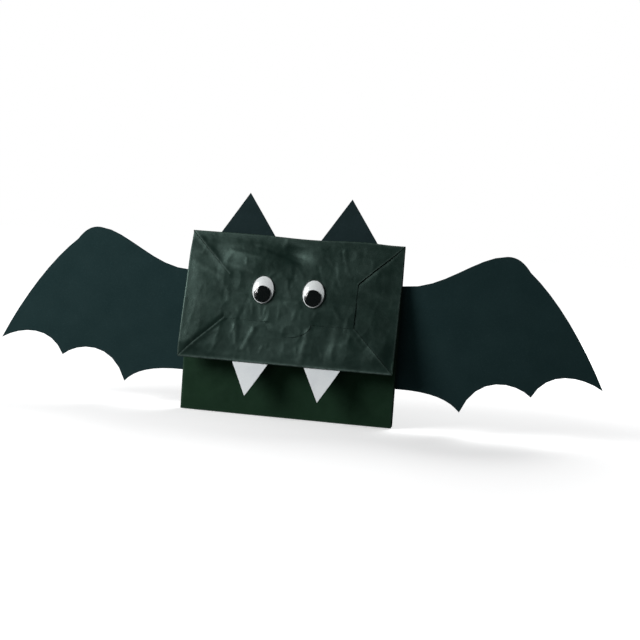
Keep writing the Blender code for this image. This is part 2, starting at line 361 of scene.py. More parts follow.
class Nodes:
    """A material's node tree with the few nodes that these materials are made from."""

    def __init__(self, name):
        self.material = bpy.data.materials.new(name)
        self.material.use_nodes = True
        self.tree = self.material.node_tree
        self.shader = self.tree.nodes["Principled BSDF"]
        self.coordinates = self.add("ShaderNodeTexCoord").outputs["Object"]

    def add(self, kind, **values):
        node = self.tree.nodes.new(kind)
        for key, value in values.items():
            setattr(node, key, value)
        return node

    def link(self, source, target):
        self.tree.links.new(source, target)

    def noise(self, size, detail=3.0, roughness=0.5, stretch=(1, 1, 1)):
        """Noise whose lumps are about size millimetres across, from 0 to 1."""
        mapping = self.add("ShaderNodeMapping")
        mapping.inputs["Scale"].default_value = stretch
        self.link(self.coordinates, mapping.inputs["Vector"])
        texture = self.add("ShaderNodeTexNoise")
        texture.inputs["Scale"].default_value = 1 / (size * MM)
        texture.inputs["Detail"].default_value = detail
        texture.inputs["Roughness"].default_value = roughness
        self.link(mapping.outputs["Vector"], texture.inputs["Vector"])
        return texture.outputs["Fac"]

    def attribute(self, name):
        return self.add("ShaderNodeAttribute", attribute_name=name).outputs["Fac"]

    def range(self, value, low, high, to_low=0.0, to_high=1.0):
        node = self.add("ShaderNodeMapRange")
        self.link(value, node.inputs["Value"])
        node.inputs["From Min"].default_value = low
        node.inputs["From Max"].default_value = high
        node.inputs["To Min"].default_value = to_low
        node.inputs["To Max"].default_value = to_high
        return node.outputs["Result"]

    def math(self, operation, a, b):
        node = self.add("ShaderNodeMath", operation=operation)
        for socket, value in zip(node.inputs, (a, b)):
            if isinstance(value, (int, float)):
                socket.default_value = value
            else:
                self.link(value, socket)
        return node.outputs["Value"]

    def mix(self, factor, a, b):
        node = self.add("ShaderNodeMix", data_type="RGBA")
        self.link(factor, node.inputs["Factor"])
        for name, value in (("A", a), ("B", b)):
            socket = [s for s in node.inputs if s.name == name and s.type == "RGBA"][0]
            if isinstance(value, tuple):
                socket.default_value = (*value, 1)
            else:
                self.link(value, socket)
        return [s for s in node.outputs if s.type == "RGBA"][0]

    def bump(self, *layers):
        """Bump from (height, depth in millimetres) layers, the coarsest first."""
        normal = None
        for height, depth in layers:
            node = self.add("ShaderNodeBump")
            node.inputs["Strength"].default_value = 1
            node.inputs["Distance"].default_value = depth * MM
            self.link(height, node.inputs["Height"])
            if normal is not None:
                self.link(normal, node.inputs["Normal"])
            normal = node.outputs["Normal"]
        self.link(normal, self.shader.inputs["Normal"])


def bag_paper(name, dark, light, worn_and_highlight, roughness, shine=0.37):
    """Smooth dyed bag paper: mottled, softly shining, paler where a fold has rubbed, and that paler colour
    also paints a highlight along the fold edges.
    """
    n = Nodes(name)
    blotches = n.range(n.noise(9, 4, 0.6), 0.35, 0.68)
    fibres = n.noise(0.5, 4, 0.65, (1, 1, 2.6))
    base = n.mix(blotches, dark, light)
    speckled = n.mix(n.range(fibres, 0.55, 0.8, 0, 0.10), base, worn_and_highlight)
    # Paler where rubbed: real wear on crests and folds, and a painted highlight along the fold edges.
    rubbed_and_highlight = n.math("MULTIPLY", n.attribute("wear_and_highlight"), n.range(n.noise(2.2, 3), 0.3, 0.6, 0.35, 1))
    n.link(n.mix(rubbed_and_highlight, speckled, worn_and_highlight), n.shader.inputs["Base Color"])
    uneven = n.range(n.noise(5, 4, 0.6), 0.3, 0.7, roughness - 0.06, roughness + 0.08)
    n.link(uneven, n.shader.inputs["Roughness"])
    n.shader.inputs["Specular IOR Level"].default_value = shine
    n.shader.inputs["Specular Tint"].default_value = (0.68, 1, 0.89, 1)
    n.bump((n.noise(6.5, 3, 0.5), 0.09), (n.noise(1.6, 3, 0.55, (1, 1, 0.6)), 0.022), (fibres, 0.007))
    return n.material


def craft_paper(name, dark, light, depth=0.02):
    """Matte construction paper: a felt of short fibres, some of them paler."""
    n = Nodes(name)
    cloud = n.range(n.noise(14, 3, 0.5), 0.3, 0.7)
    fibres_across = n.noise(0.55, 4, 0.7, (0.35, 1, 1.6))
    fibres_up = n.noise(0.5, 4, 0.7, (1.7, 1, 0.35))
    felt = n.math("ADD", fibres_across, fibres_up)
    base = n.mix(cloud, dark, light)
    pale = tuple(min(1, c * 1.7 + 0.006) for c in light)
    n.link(n.mix(n.range(felt, 1.08, 1.4, 0, 0.55), base, pale), n.shader.inputs["Base Color"])
    n.link(n.range(felt, 0.7, 1.3, 0.95, 0.8), n.shader.inputs["Roughness"])
    n.shader.inputs["Specular IOR Level"].default_value = 0.2
    n.shader.inputs["Specular Tint"].default_value = (0.6, 1, 1, 1)
    n.shader.inputs["Sheen Weight"].default_value = 0.02
    n.shader.inputs["Sheen Roughness"].default_value = 0.6
    n.bump((n.noise(20, 2), 0.2), (felt, depth))
    return n.material


def plastic(name, colour, roughness, shine=0.5, mottle=0.03):
    """Moulded plastic with the faintest flow marks."""
    n = Nodes(name)
    flow = n.range(n.noise(3, 3), 0.3, 0.7)
    shade_colour = tuple(c * (1 - mottle) for c in colour)
    n.link(n.mix(flow, colour, shade_colour), n.shader.inputs["Base Color"])
    n.link(n.range(flow, 0, 1, roughness, roughness + 0.05), n.shader.inputs["Roughness"])
    n.shader.inputs["Specular IOR Level"].default_value = shine
    n.bump((n.noise(1.2, 2), 0.002))
    return n.material


def clear_plastic(name):
    """A thin clear dome: mostly open, with a hard shine."""
    n = Nodes(name)
    n.shader.inputs["Base Color"].default_value = (0.0, 0.0, 0.0, 1)
    n.shader.inputs["Roughness"].default_value = 0.08
    n.shader.inputs["IOR"].default_value = 2.4
    n.shader.inputs["Alpha"].default_value = 0.06
    n.shader.inputs["Specular IOR Level"].default_value = 1
    n.shader.inputs["Coat Weight"].default_value = 1
    n.shader.inputs["Coat Roughness"].default_value = 0.05
    n.bump((n.noise(5, 2), 0.002))
    return n.material


# The worn colour paints rubbed folds paler, and also paints a highlight along the fold edges.
BAG_FACE = bag_paper(
    "bag_face_paper",
    dark=(0.0029, 0.0098, 0.0073),
    light=(0.0054, 0.0154, 0.0116),
    worn_and_highlight=(0.09, 0.13, 0.115),
    roughness=0.38,
    shine=0.42,
)
BAG_BODY = bag_paper(
    "bag_body_paper",
    dark=(0.0052, 0.0210, 0.0080),
    light=(0.0072, 0.0260, 0.0105),
    worn_and_highlight=(0.05, 0.085, 0.065),
    roughness=0.75,
    shine=0.25,
)
BAG_FOLDS = bag_paper(
    "bag_fold_paper",
    dark=(0.0045, 0.014, 0.0095),
    light=(0.007, 0.020, 0.0135),
    worn_and_highlight=(0.03, 0.055, 0.043),
    roughness=0.5,
)
WING_CARD = craft_paper("wing_card", (0.0082, 0.0225, 0.0237), (0.0108, 0.0266, 0.0278))
EAR_CARD = craft_paper("ear_card", (0.0078, 0.0165, 0.0175), (0.0112, 0.0215, 0.0235))
FANG_CARD = craft_paper("fang_card", (0.66, 0.69, 0.71), (0.74, 0.77, 0.78), 0.012)
EYE_WHITE = plastic("eye_white_plastic", (0.90, 0.94, 0.94), 0.35)
PUPIL_BLACK = plastic("pupil_black_plastic", (0.001, 0.003, 0.003), 0.12, 0.12)
EYE_CLEAR = clear_plastic("eye_clear_plastic")


# ---------------------------------------------------------------- the face

TOP = FACE_HEIGHT / MM
SIDE = HALF_WIDTH / MM
FOLD_RADIUS = 0.55
FOLD_WEAR = 0.5

# How far the sides of the face curl back, or come forward where negative, and how the curl dies out at
# the top fold and at the lip
BOW_LEFT = -2.0
BOW_RIGHT = 1.0
BOW_FADE_TOP = 16
BOW_FADE_LIP = 12
BOW_PAST_LIP = 2

# The waves that all layers share, as (height, size), and what holds them flat
WAVES = (0.34, 19)
CRUSH = (0.12, 10)
GRAIN = (0.03, 4.5)
EDGE_HOLD = 7
EYE_REST = ((-17.3, 44.5), (13.7, 44.3))
EYE_HOLD = 0.92
EYE_HOLD_REACH = (10, 11)

# Handling creases on the face, as (start, end) of a line, width, height
FACE_CREASES = (
    (((-31.5, 21.6), (-31.0, 10.6)), 1.3, 0.16),
    (((-20.7, 20.1), (-25.7, 8.0)), 1.4, 0.19),
    (((12.7, 21.4), (9.5, 3.0)), 2.0, 0.21),
    (((29.7, 23.8), (27.5, 9.9)), 2.6, 0.15),
    (((-23.1, 35.9), (-22.3, 29.8)), 0.8, 0.08),
    (((-14.2, 34.1), (-15.8, 27.2)), 0.9, 0.09),
    (((-6.2, 34.2), (-6.2, 28.7)), 0.8, 0.06),
    (((3.8, 32.6), (3.1, 28.2)), 1.0, 0.08),
    (((8.0, 32.9), (7.3, 28.6)), 0.8, 0.05),
    (((14.4, 61.8), (18.6, 49.3)), 1.0, -0.08),
    (((24.4, 65.1), (27.3, 51.1)), 1.2, -0.09),
    (((29.7, 72.9), (32.2, 60.7)), 1.0, 0.07),
    (((27.0, 36.0), (31.0, 30.0)), 1.2, 0.08),
    (((39.3, 22.6), (46.2, 14.2)), 1.2, 0.09),
    (((52.1, 14.7), (60.5, 4.9)), 1.0, 0.10),
    (((50.0, 9.0), (56.0, 3.5)), 0.9, -0.08),
    (((34.2, 14.5), (41.6, 10.4)), 1.1, 0.06),
    (((-61.2, 58.4), (-45.0, 50.9)), 2.0, 0.15),
    (((-58.0, 36.0), (-46.0, 33.0)), 2.4, 0.10),
    (((-62.0, 22.0), (-57.0, 9.0)), 1.5, -0.09),
    (((43.0, 50.0), (60.0, 44.0)), 2.2, 0.08),
    (((46.0, 31.0), (59.0, 27.0)), 2.4, -0.08),
    (((-52.0, 12.0), (-42.0, 18.5)), 0.9, 0.07),
    (((-60.0, 73.0), (-42.5, 54.5)), 1.4, 0.14),
    (((-42.5, 59.9), (-25.5, 54.9)), 1.5, 0.15),
    (((-39.7, 67.6), (-20.5, 64.1)), 1.3, 0.13),
    (((-16.1, 69.4), (3.2, 63.4)), 1.3, -0.16),
    (((-25.7, 71.2), (-8.0, 68.8)), 1.0, -0.12),
    (((2.0, 60.0), (6.0, 55.0)), 1.0, 0.08),
    (((40.0, 60.0), (46.0, 57.0)), 1.2, 0.07),
    (((-45.0, 5.0), (-40.0, 14.0)), 1.0, 0.06),
)

# Broad bulges and dents of the face, as centre, reach along and across, height, turn in degrees
FACE_HUMPS = (
    ((-26, 62), (18, 10), 1.5, -14),
    ((-2, 69), (10, 5.5), -2.0, -10),
    ((14, 59), (16, 10), -0.9, 0),
    ((-50, 40), (8, 10), 0.3, 0),
    ((34, 66), (15, 6), -0.2, 20),
    ((-8, 13), (20, 7), -0.3, 5),
    ((6, 34), (26, 8), 0.4, 4),
    ((56, 38), (8, 18), -0.2, 0),
    ((55, 10), (9, 7), 1.0, 15),
    ((37, 12), (8, 9), 0.85, 0),
    ((-7, 73.5), (2.0, 3.0), 0.3, 0),
)

# Short wrinkles: how many, how far they stay from the edges, and the ranges they are drawn from
WRINKLES = 70
WRINKLE_MARGIN = (8, 6)
WRINKLE_LEAN = 0.45
WRINKLE_HALF_LENGTH = (1.5, 4.5)
WRINKLE_WIDTH = (0.6, 1.2)
WRINKLE_HEIGHT = (-0.09, 0.11)

# How worn the highest crests are, and the crest height at which that is reached
CREST_WEAR = 0.3
FULL_CREST = 0.22


def edge_gap(x, y):
    """How far a point of the face is from the nearest of its four edges."""
    return np.minimum(np.minimum(SIDE - np.abs(x), y), TOP - y)


def bow(x, y):
    """How far the face has curled back towards its two sides."""
    reach = np.where(x < 0, BOW_LEFT, BOW_RIGHT)
    free = smooth((TOP - y) / BOW_FADE_TOP) * fade(y, -BOW_PAST_LIP, BOW_FADE_LIP)
    return -reach * (x / SIDE) ** 2 * free


def face_waves(x, y):
    """The bends that all layers of the face share. They die out at the folded edges and under the eyes."""
    free = smooth(edge_gap(x, y) / EDGE_HOLD)
    for centre in EYE_REST:
        free = free * (1 - hump(x, y, centre, EYE_HOLD_REACH, EYE_HOLD))
    height = WAVES[0] * wander(x, y, WAVES[1], 1) + CRUSH[0] * crumple(x, y, CRUSH[1], 2)
    for centre, reach, rise, turn in FACE_HUMPS:
        height = height + hump(x, y, centre, reach, rise, turn)
    return bow(x, y) + height * free + GRAIN[0] * crumple(x, y, GRAIN[1], 3)


def small_wrinkles():
    """Short shallow creases all over the face, most of them upright."""
    chance = np.random.default_rng(5)
    half_width, low, high = SIDE - WRINKLE_MARGIN[0], WRINKLE_MARGIN[1], TOP - WRINKLE_MARGIN[1]
    made = []
    for _ in range(WRINKLES):
        x, y = chance.uniform(-half_width, half_width), chance.uniform(low, high)
        lean = chance.normal(0, WRINKLE_LEAN)
        half = chance.uniform(*WRINKLE_HALF_LENGTH)
        end = (x + half * math.sin(lean), y + half * math.cos(lean))
        start = (2 * x - end[0], 2 * y - end[1])
        made.append(((start, end), chance.uniform(*WRINKLE_WIDTH), chance.uniform(*WRINKLE_HEIGHT)))
    return tuple(made)


def face_creases(x, y):
    """The handling creases and how worn their crests are."""
    height, wear_and_highlight = 0 * x, 0 * x
    for line, width, rise in FACE_CREASES + small_wrinkles():
        one = crease(x, y, line, width, rise)
        height = height + one
        wear_and_highlight = np.maximum(wear_and_highlight, CREST_WEAR * np.clip(one / FULL_CREST, 0, 1) ** 1.5)
    return height, wear_and_highlight


# The folded bottom of the bag, from its CAD flaps
UPPER_OUTLINE = outline_of("upper_bottom_flap", FACE)
LOWER_OUTLINE = outline_of("lower_bottom_flap", FACE)
INSET = 26.0
UPPER_EDGE = min(y for x, y in UPPER_OUTLINE if abs(x) > SIDE / 2)
LOWER_EDGE = max(y for x, y in LOWER_OUTLINE)
TONGUE_DROP = UPPER_EDGE - min(y for x, y in UPPER_OUTLINE)
TONGUE_HALF = max(x for x, y in UPPER_OUTLINE if y < UPPER_EDGE - 0.01)
TONGUE_SIDE = SIDE - INSET

# The height of each layer, and how much it puffs up away from the edges of the face
LEVEL = {"tuck": 0.22, "lower": 0.52, "upper": 0.55}
PUFF = {"tuck": 0.14, "lower": 0.22, "upper": 0.30}
PUFF_REACH = 9
TUCK_CREASING = 0.8

# How the slanting edges stand off the tucks, and the gaps that show beside them, as (reach, height)
LOWER_LEFT_LIFT = (1.6, 0.42)
LOWER_RIGHT_LIFT = (1.4, 0.08)
UPPER_LEFT_LIFT = (2.2, 0.30)
TUCK_LEFT_GAP = (1.8, 0.7)
TUCK_RIGHT_GAP = (1.3, 0.35)
SLANT_LENGTH = 6

# How the upper flap rides over the lower one and lies close to it along its free edges
OVERLAP_RISE = 0.38
OVERLAP_LENGTH = 4
FREE_EDGE_REACH = 4.5
SIDE_EDGE_REACH = 6.0
TONGUE_EDGE_REACH = 1.6
EDGE_PRESS = 0.10
FREE_EDGE_PRESS = 0.16
TONGUE_PRESS = 0.25
UNDER_PRESS = 0.06

# How worn the folds are, which also paints a highlight along them: the lip and the top as (reach, wear),
# the sides, and each flap's two slants.
# The nick in the top fold is a worn spot, as centre, reach, wear
LIP_WEAR_AND_HIGHLIGHT = (0.8, 1.0)
TOP_WEAR_AND_HIGHLIGHT = (0.55, 0.7)
SIDE_WEAR_AND_HIGHLIGHT = 0.8
LOWER_SLANT_WEAR_AND_HIGHLIGHT = (0.9, 0.3)
UPPER_SLANT_WEAR_AND_HIGHLIGHT = (0.9, 0.35)
NICK = ((-7.2, 77), (1.0, 2.2), 0.6)


def puff(x, y):
    """How far in from the folded edges a point is, from 0 to 1."""
    return smooth(edge_gap(x, y) / PUFF_REACH)


def diagonals(y_corner, y_inner):
    """The left and right slanting edges of a bottom flap, as lines."""
    reach = abs(y_corner - y_inner)
    left = ((-SIDE, y_corner), (-SIDE + reach, y_inner))
    right = ((SIDE, y_corner), (SIDE - reach, y_inner))
    return left, right


LOWER_SLANTS = diagonals(0, INSET)
UPPER_SLANTS = diagonals(TOP, TOP - INSET)


def slant_wear_and_highlight(x, y, rubbed_and_highlight, slants, strengths):
    """Adds the wear, which also paints a highlight, along the two slanting edges of a flap."""
    for line, strength in zip(slants, strengths):
        rubbed_and_highlight = np.maximum(rubbed_and_highlight, crease(x, y, line, FOLD_WEAR, strength))
    return rubbed_and_highlight


def layer(x, y, name, creases):
    """A layer of the face before its own edges are shaped."""
    return LEVEL[name] + PUFF[name] * puff(x, y) + face_waves(x, y) + creases


def tuck_shape(x, y):
    creases, wear_and_highlight = face_creases(x, y)
    side_gap = SIDE - np.abs(x)
    height = layer(x, y, "tuck", TUCK_CREASING * creases) - roll(side_gap, FOLD_RADIUS)
    gap = crease(x, y, LOWER_SLANTS[0], *TUCK_LEFT_GAP) + crease(x, y, UPPER_SLANTS[1], *TUCK_RIGHT_GAP)
    height = height - gap * fade(side_gap, 1, 8)
    # The folded side edge is painted paler: rubbed wear and a painted highlight.
    return height, np.maximum(wear_and_highlight, SIDE_WEAR_AND_HIGHLIGHT * ridge(side_gap, FOLD_WEAR))


def lower_shape(x, y):
    creases, wear_and_highlight = face_creases(x, y)
    left, right = LOWER_SLANTS
    height = layer(x, y, "lower", creases)
    height = height + crease(x, y, left, *LOWER_LEFT_LIFT) * fade(y, 2, SLANT_LENGTH)
    height = height + crease(x, y, right, *LOWER_RIGHT_LIFT)
    height = height - roll(y, FOLD_RADIUS) - UNDER_PRESS * fade(y, UPPER_EDGE - 1, 3)
    # The lip and the slanting edges are painted paler: rubbed wear and a painted highlight.
    rubbed_and_highlight = slant_wear_and_highlight(x, y, LIP_WEAR_AND_HIGHLIGHT[1] * ridge(y, LIP_WEAR_AND_HIGHLIGHT[0]), LOWER_SLANTS, LOWER_SLANT_WEAR_AND_HIGHLIGHT)
    return height, np.maximum(wear_and_highlight, rubbed_and_highlight)


def upper_shape(x, y):
    creases, wear_and_highlight = face_creases(x, y)
    top_gap = TOP - y
    over_lower = OVERLAP_RISE * (1 - fade(y, LOWER_EDGE + 0.5, OVERLAP_LENGTH))
    height = layer(x, y, "upper", creases) + over_lower
    height = height + crease(x, y, UPPER_SLANTS[0], *UPPER_LEFT_LIFT) * fade(top_gap, 2, SLANT_LENGTH)
    free = ridge(y - UPPER_EDGE, FREE_EDGE_REACH) * fade(np.abs(x), TONGUE_HALF - 1, 4)
    side_gap = np.clip(TONGUE_SIDE - np.abs(x), 0, None)
    side_edge = ridge(side_gap, SIDE_EDGE_REACH) * fade(top_gap, INSET - 4, 9)
    ring = np.hypot(x * TONGUE_DROP / TONGUE_HALF, y - UPPER_EDGE) - TONGUE_DROP
    tongue = ridge(ring, TONGUE_EDGE_REACH) * (y < UPPER_EDGE) * smooth((6 - x) / 8)
    height = height - EDGE_PRESS * np.maximum(free, side_edge) - FREE_EDGE_PRESS * free
    height = height - TONGUE_PRESS * tongue - roll(top_gap, FOLD_RADIUS)
    # The top fold and the slanting edges are painted paler: rubbed wear and a painted highlight.
    rubbed_and_highlight = slant_wear_and_highlight(x, y, TOP_WEAR_AND_HIGHLIGHT[1] * ridge(top_gap, TOP_WEAR_AND_HIGHLIGHT[0]), UPPER_SLANTS, UPPER_SLANT_WEAR_AND_HIGHLIGHT)
    return height, np.maximum(wear_and_highlight, np.maximum(rubbed_and_highlight, hump(x, y, *NICK)))


def face_sheet(name, node, shape, folds, top=None):
    """One layer of the face, in place of its CAD node."""
    paper = sheet(name, outline_of(node, FACE), FACE, shape, BAG_PAPER, folds=folds, top=top)
    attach(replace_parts(dress(paper, BAG_FACE), node), "head")


def make_face():
    for side, sign in (("left", -1), ("right", 1)):
        side_fold = ((sign * SIDE, TOP * (sign < 0)), (sign * SIDE, TOP * (sign > 0)))
        face_sheet(f"{side}_tuck_paper", f"{side}_side_tuck", tuck_shape, [side_fold], top=TOP)
    lip_fold = ((-SIDE, 0), (SIDE, 0))
    face_sheet("lower_flap_paper", "lower_bottom_flap", lower_shape, [lip_fold])
    top_fold = ((SIDE, TOP), (-SIDE, TOP))
    face_sheet("upper_flap_paper", "upper_bottom_flap", upper_shape, [top_fold], top=TOP)


# ---------------------------------------------------------------- the rest of the bag

BODY = BODY_HEIGHT / MM

# The slow and quick unevenness of flat paper, as (height, size)
PANEL_WAVES = (0.10, 24)
PANEL_CRUSH = (0.05, 9)
STRIP_WAVES = (0.10, 15)

# The cut foot of the bag: how high and how far it lifts, the size of its waves, and its (reach, wear)
FOOT_LIFT = 0.25
FOOT_REACH = 5
FOOT_WAVE = 17
FOOT_WEAR = (0.35, 0.25)

FRONT_SWELL = 0.35
FRONT_SWELL_REACH = 30
BACK_WAVINESS = 0.6
SIDE_ROLL = 0.4
TOP_ROLL = 0.7
PANEL_SIDE_WEAR = 0.55
PANEL_TOP_WEAR = 0.6
STRIP_SIDE_WEAR = 0.4

# The glued seam down the back. Its wear is (reach, wear)
SEAM_HALF = 6.5
SEAM_TOP_GAP = 1.5
SEAM_LEVEL = -0.23
SEAM_WEAR = (0.4, 0.3)


def panel_waves(x, y):
    slow = PANEL_WAVES[0] * wander(x, y, PANEL_WAVES[1], 5)
    return slow + PANEL_CRUSH[0] * crumple(x, y, PANEL_CRUSH[1], 6)


def panel_edges(x, y):
    """Folded sides and a cut lower edge that has lifted a little."""
    side_gap = SIDE - np.abs(x)
    height = panel_waves(x, y) * smooth(side_gap / 5)
    height = height + FOOT_LIFT * ridge(y, FOOT_REACH) * wander(x, 0 * y, FOOT_WAVE, 8)
    wear_and_highlight = np.maximum(PANEL_SIDE_WEAR * ridge(side_gap, FOLD_WEAR), FOOT_WEAR[1] * ridge(y, FOOT_WEAR[0]))
    return height, wear_and_highlight, side_gap


def front_shape(x, y):
    height, wear_and_highlight, side_gap = panel_edges(x, y)
    height = height + FRONT_SWELL * smooth(side_gap / FRONT_SWELL_REACH)
    return height - roll(side_gap, SIDE_ROLL), wear_and_highlight


def back_shape(x, y):
    height, wear_and_highlight, side_gap = panel_edges(x, y)
    top_gap = BODY - y
    height = BACK_WAVINESS * height * smooth(top_gap / 5)
    height = height + roll(side_gap, SIDE_ROLL) + roll(top_gap, TOP_ROLL)
    return height, np.maximum(wear_and_highlight, PANEL_TOP_WEAR * ridge(top_gap, FOLD_WEAR))


def seam_shape(x, y):
    height = SEAM_LEVEL + BACK_WAVINESS * panel_waves(x, y)
    return height, SEAM_WEAR[1] * ridge(np.abs(x) - SEAM_HALF, SEAM_WEAR[0])


def strip_shape(x, y):
    side_gap = SIDE - np.abs(x)
    height = STRIP_WAVES[0] * wander(x, y, STRIP_WAVES[1], 9) * smooth(side_gap / 4)
    return height, STRIP_SIDE_WEAR * ridge(side_gap, FOLD_WEAR)


def make_panels():
    for node, shape, body, sagging in (
        ("front_panel", front_shape, "front", None),
        ("back_panel", back_shape, "root", BODY),
    ):
        where = upright(node)
        outline = outline_of(node, where)
        top = max(y for _, y in outline)
        sides = [((SIDE, 0), (SIDE, top)), ((-SIDE, top), (-SIDE, 0))]
        panel = sheet(f"{node}_paper", outline, where, shape, BAG_PAPER, PANEL_MESH, sides, sagging)
        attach(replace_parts(dress(panel, BAG_BODY), node), body)

    top = BODY - SEAM_TOP_GAP
    outline = [(-SEAM_HALF, 0), (SEAM_HALF, 0), (SEAM_HALF, top), (-SEAM_HALF, top)]
    seam = sheet("back_seam_paper", outline, upright("back_panel"), seam_shape, SEAM_PAPER, PANEL_MESH)
    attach(dress(seam, BAG_BODY), "root")

    outline = outline_of("mouth_strip", UNDERSIDE)
    strip = sheet("mouth_strip_paper", outline, UNDERSIDE, strip_shape, BAG_PAPER, STRIP_MESH)
    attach(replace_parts(dress(strip, BAG_BODY), "mouth_strip"), "mouth")


# Steps along each leg of a folded row, and rows in each web
LEG_STEPS = 14
WEB_ROWS = 26

# Clearances of the folded side walls, in metres: from the bag's sides, inside its panels, behind the face,
# above the foot and below the crease, and from a fold line to where its pleat starts
WEB_INSET = 0.35 * MM
WEB_BEHIND_PANEL = 0.25 * MM
WEB_BEHIND_FACE = 0.12 * MM
WEB_FOOT_GAP = 0.1 * MM
WEB_TOP_GAP = 0.4 * MM
PLEAT_START = 2.5 * MM

# How far a gusset's fold sways to and fro, and how many radians of a sine that takes
GUSSET_SWAY = 0.25 * MM
GUSSET_TURNS = 9

# Two distances for each pleat, in metres behind the panel or the face
HEAD_PLEAT_BLEND = (0.1 * MM, 1.3 * MM)
LIP_PLEAT_BLEND = (0.3 * MM, 1.4 * MM)

FACE_OUT = (FACE.to_3x3() @ Z_AXIS).normalized()
FACE_UP = (TOP_FOLD - LIP).normalized()
STRIP_OUT = (UNDERSIDE.to_3x3() @ Z_AXIS).normalized()
STRIP_UP = (CREASE - LIP).normalized()
STRIP_LENGTH = (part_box("mouth_strip")[1].z - LIP.z) / STRIP_UP.z
BACK_Y = TOP_FOLD.y - WEB_BEHIND_PANEL
FRONT_Y = FOOT.y + WEB_BEHIND_PANEL


def folded_row(sign, front, fold, back, fold_x):
    """Points from a front edge in to a fold at fold_x from the middle and out to a back edge."""
    edge_x = sign * (HALF_WIDTH - WEB_INSET)
    front = Vector((edge_x, front.y, front.z))
    fold = Vector((sign * fold_x, fold.y, fold.z))
    back = Vector((edge_x, back.y, back.z))
    points = [front.lerp(fold, i / LEG_STEPS) for i in range(LEG_STEPS)]
    return points + [fold.lerp(back, i / LEG_STEPS) for i in range(LEG_STEPS + 1)]


def face_curl(sign, y):
    """How far the side edge of the face has moved out of its plane, in metres."""
    return float(bow(sign * SIDE, y / MM)) * MM


def gusset_row(sign, t):
    """A row across a side gusset, from the foot at t = 0 to the crease at t = 1."""
    z = t * (CREASE.z - WEB_TOP_GAP) + WEB_FOOT_GAP
    front = Vector((0, FRONT_Y, z))
    fold = Vector((0, GUSSET_SWAY * math.sin(GUSSET_TURNS * t), z))
    back = Vector((0, BACK_Y, z))
    return folded_row(sign, front, fold, back, HALF_WIDTH - FOLD_DEPTH)


def head_row(sign, t):
    """A row across the pleat between the head and the back panel, from the top fold downwards."""
    down = PLEAT_START + t * (FOLD_DEPTH - PLEAT_START)
    curl = face_curl(sign, FACE_HEIGHT - down)
    on_face = TOP_FOLD - FACE_UP * down + FACE_OUT * (curl - WEB_BEHIND_FACE)
    on_back = Vector((0, BACK_Y, TOP_FOLD.z - down))
    return folded_row(sign, on_face, on_face.lerp(on_back, 0.45), on_back, HALF_WIDTH - WEB_INSET - down)


def lip_row(sign, t):
    """A row across the pleat between the face and the strip under it, from the lip backwards."""
    up = PLEAT_START + t * (STRIP_LENGTH - PLEAT_START)
    curl = face_curl(sign, up)
    on_face = LIP + FACE_UP * up + FACE_OUT * (curl - WEB_BEHIND_FACE)
    on_strip = LIP + STRIP_UP * up + STRIP_OUT * 2 * WEB_BEHIND_FACE
    return folded_row(sign, on_face, on_face.lerp(on_strip, 0.5), on_strip, HALF_WIDTH - WEB_INSET - up)


def web(name, sign, row_at, bodies, start, end, nodes):
    """A folded side wall of the bag, between two panels that a joint turns."""
    rows = [row_at(sign, i / (WEB_ROWS - 1)) for i in range(WEB_ROWS)]
    obj = dress(ribbon(name, rows), BAG_FOLDS)
    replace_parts(obj, *nodes)
    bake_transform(obj)


def make_webs():
    """The side gussets below the mouth, and the pleats that close the head at both sides."""
    back, front = Vector((0, BACK_Y, 0)), Vector((0, FRONT_Y, 0))
    forward = Vector((0, -1, 0))
    head_blend = [back + forward * gap for gap in HEAD_PLEAT_BLEND]
    lip_blend = [LIP - FACE_OUT * gap for gap in LIP_PLEAT_BLEND]
    for side, sign in (("left", -1), ("right", 1)):
        gussets = (f"{side}_gusset_rear", f"{side}_gusset_front")
        web(f"{side}_gusset_paper", sign, gusset_row, ("root", "front"), back, front, gussets)
        pleat = f"{side}_head_pleat"
        web(f"{pleat}_paper", sign, head_row, ("root", "head"), *head_blend, (pleat,))
        pleat = f"{side}_lip_pleat"
        web(f"{pleat}_paper", sign, lip_row, ("head", "mouth"), *lip_blend, (pleat,))


# ---------------------------------------------------------------- wings, ears and fangs

# The wings' waves as (height, size, distance from the bag at which they are full), beyond a flat margin
WING_FLAT = 2
WING_WAVE = (0.55, 42, 35)
WING_RIPPLE = (0.12, 12, 25)
WING_FOLD_GAP = 0.3
WING_FOLD_WEAR = 0.5

# How ears and fangs curl towards their tips, and their waves as (height, size)
EAR_CURL = 0.0042
EAR_CURL_POWER = 1.6
EAR_WAVE = (0.06, 12)
FANG_CURL = 0.004
FANG_WAVE = (0.05, 8)


def wing_shape(sign):
    """The shape of the wing on that side: flat where it is glued, gently waved outside."""

    def shape(x, y):
        out = np.maximum(np.abs(x) - SIDE - WING_FLAT, 0)
        height = 0 * x
        for seed, (rise, size, reach) in ((12, WING_WAVE), (13, WING_RIPPLE)):
            height = height + smooth(out / reach) * rise * wander(x * sign, y, size, seed)
        fold_gap = np.abs(x) - SIDE - WING_FOLD_GAP
        return height, WING_FOLD_WEAR * ridge(fold_gap, FOLD_WEAR)

    return shape


def make_wings():
    """Each wing with its tab, as one sheet."""
    for side, sign in (("left", -1), ("right", 1)):
        node, tab = f"{side}_wing", f"{side}_wing_tab"
        where = upright(node)
        blade = outline_of(node, where)
        tab_low, tab_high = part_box(tab)
        inner = (tab_low.x if sign > 0 else tab_high.x) / MM
        root = sorted(range(len(blade)), key=lambda i: abs(blade[i][0]))[:2]
        first = root[0] if (root[0] + 1) % len(blade) == root[1] else root[1]
        blade = blade[first:] + blade[:first]
        outline = [blade[0], (inner, blade[0][1]), (inner, blade[1][1]), *blade[1:]]
        wing = sheet(f"{side}_wing_paper", outline, where, wing_shape(sign), CARD, WING_MESH)
        dress(wing, WING_CARD)
        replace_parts(wing, node, tab)
        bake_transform(wing)


